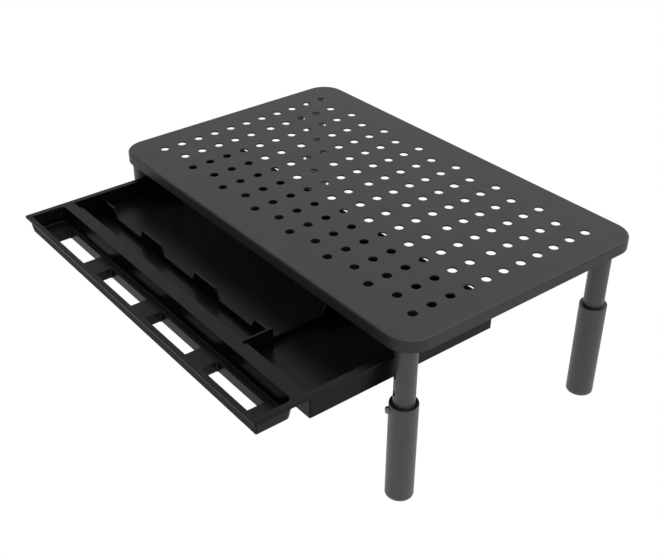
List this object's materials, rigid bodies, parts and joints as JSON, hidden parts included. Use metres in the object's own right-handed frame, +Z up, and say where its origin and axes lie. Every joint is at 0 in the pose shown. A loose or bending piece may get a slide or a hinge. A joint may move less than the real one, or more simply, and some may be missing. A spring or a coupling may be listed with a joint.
{
  "type": "monitor stand with drawer",
  "caption": "Low desk stand: perforated steel platform with a folded skirt on telescopic round legs, with a shallow plastic drawer that slides out from under it.",
  "frame": {"origin": "centre of the platform's flat top face", "axes": "+X along the platform's length, +Y towards the back, so the drawer opens towards -Y, +Z up"},
  "size_m": [0.37, 0.3316, 0.14],
  "materials": {
    "powder_coated_steel": "satin dark grey powder coat",
    "black_abs": "fine moulded grain",
    "guide_nylon": "matt black",
    "foot_rubber": "matt dark grey",
    "plated_steel": "dull plated"
  },
  "bodies": {
    "frame": {"platform": "powder_coated_steel", "rail_left": "powder_coated_steel", "rail_right": "powder_coated_steel", "leg_studs": "plated_steel", "leg_socket_front_left": "plated_steel", "leg_tube_front_left": "powder_coated_steel", "tube_glide_front_left": "guide_nylon", "leg_socket_front_right": "plated_steel", "leg_tube_front_right": "powder_coated_steel", "tube_glide_front_right": "guide_nylon", "leg_socket_rear_left": "plated_steel", "leg_tube_rear_left": "powder_coated_steel", "tube_glide_rear_left": "guide_nylon", "leg_socket_rear_right": "plated_steel", "leg_tube_rear_right": "powder_coated_steel", "tube_glide_rear_right": "guide_nylon"},
    "drawer": {"drawer": "black_abs"},
    "leg_front_left": {"leg_sleeve_front_left": "powder_coated_steel", "guide_bush_front_left": "guide_nylon", "foot_front_left": "foot_rubber", "button_spring_front_left": "plated_steel"},
    "button_front_left": {"snap_button_front_left": "plated_steel"},
    "leg_front_right": {"leg_sleeve_front_right": "powder_coated_steel", "guide_bush_front_right": "guide_nylon", "foot_front_right": "foot_rubber", "button_spring_front_right": "plated_steel"},
    "button_front_right": {"snap_button_front_right": "plated_steel"},
    "leg_rear_left": {"leg_sleeve_rear_left": "powder_coated_steel", "guide_bush_rear_left": "guide_nylon", "foot_rear_left": "foot_rubber", "button_spring_rear_left": "plated_steel"},
    "button_rear_left": {"snap_button_rear_left": "plated_steel"},
    "leg_rear_right": {"leg_sleeve_rear_right": "powder_coated_steel", "guide_bush_rear_right": "guide_nylon", "foot_rear_right": "foot_rubber", "button_spring_rear_right": "plated_steel"},
    "button_rear_right": {"snap_button_rear_right": "plated_steel"}
  },
  "joints": [
    {"name": "drawer_slide", "type": "slide", "parent": "frame", "child": "drawer", "axis": [0, 1, 0], "range_m": [0, 0.102]},
    {"name": "leg_slide_front_left", "type": "slide", "parent": "frame", "child": "leg_front_left", "axis": [0, 0, 1], "range_m": [0, 0.03]},
    {"name": "button_press_front_left", "type": "slide", "parent": "leg_front_left", "child": "button_front_left", "axis": [-0.5, 0.866, 0], "range_m": [0, 0.002], "stiffness_N_per_m": 1500, "deforming": ["button_spring_front_left"]},
    {"name": "leg_slide_front_right", "type": "slide", "parent": "frame", "child": "leg_front_right", "axis": [0, 0, 1], "range_m": [0, 0.03]},
    {"name": "button_press_front_right", "type": "slide", "parent": "leg_front_right", "child": "button_front_right", "axis": [0.5, 0.866, 0], "range_m": [0, 0.002], "stiffness_N_per_m": 1500, "deforming": ["button_spring_front_right"]},
    {"name": "leg_slide_rear_left", "type": "slide", "parent": "frame", "child": "leg_rear_left", "axis": [0, 0, 1], "range_m": [0, 0.03]},
    {"name": "button_press_rear_left", "type": "slide", "parent": "leg_rear_left", "child": "button_rear_left", "axis": [-0.5, -0.866, 0], "range_m": [0, 0.002], "stiffness_N_per_m": 1500, "deforming": ["button_spring_rear_left"]},
    {"name": "leg_slide_rear_right", "type": "slide", "parent": "frame", "child": "leg_rear_right", "axis": [0, 0, 1], "range_m": [0, 0.03]},
    {"name": "button_press_rear_right", "type": "slide", "parent": "leg_rear_right", "child": "button_rear_right", "axis": [0.5, -0.866, 0], "range_m": [0, 0.002], "stiffness_N_per_m": 1500, "deforming": ["button_spring_rear_right"]}
  ]
}
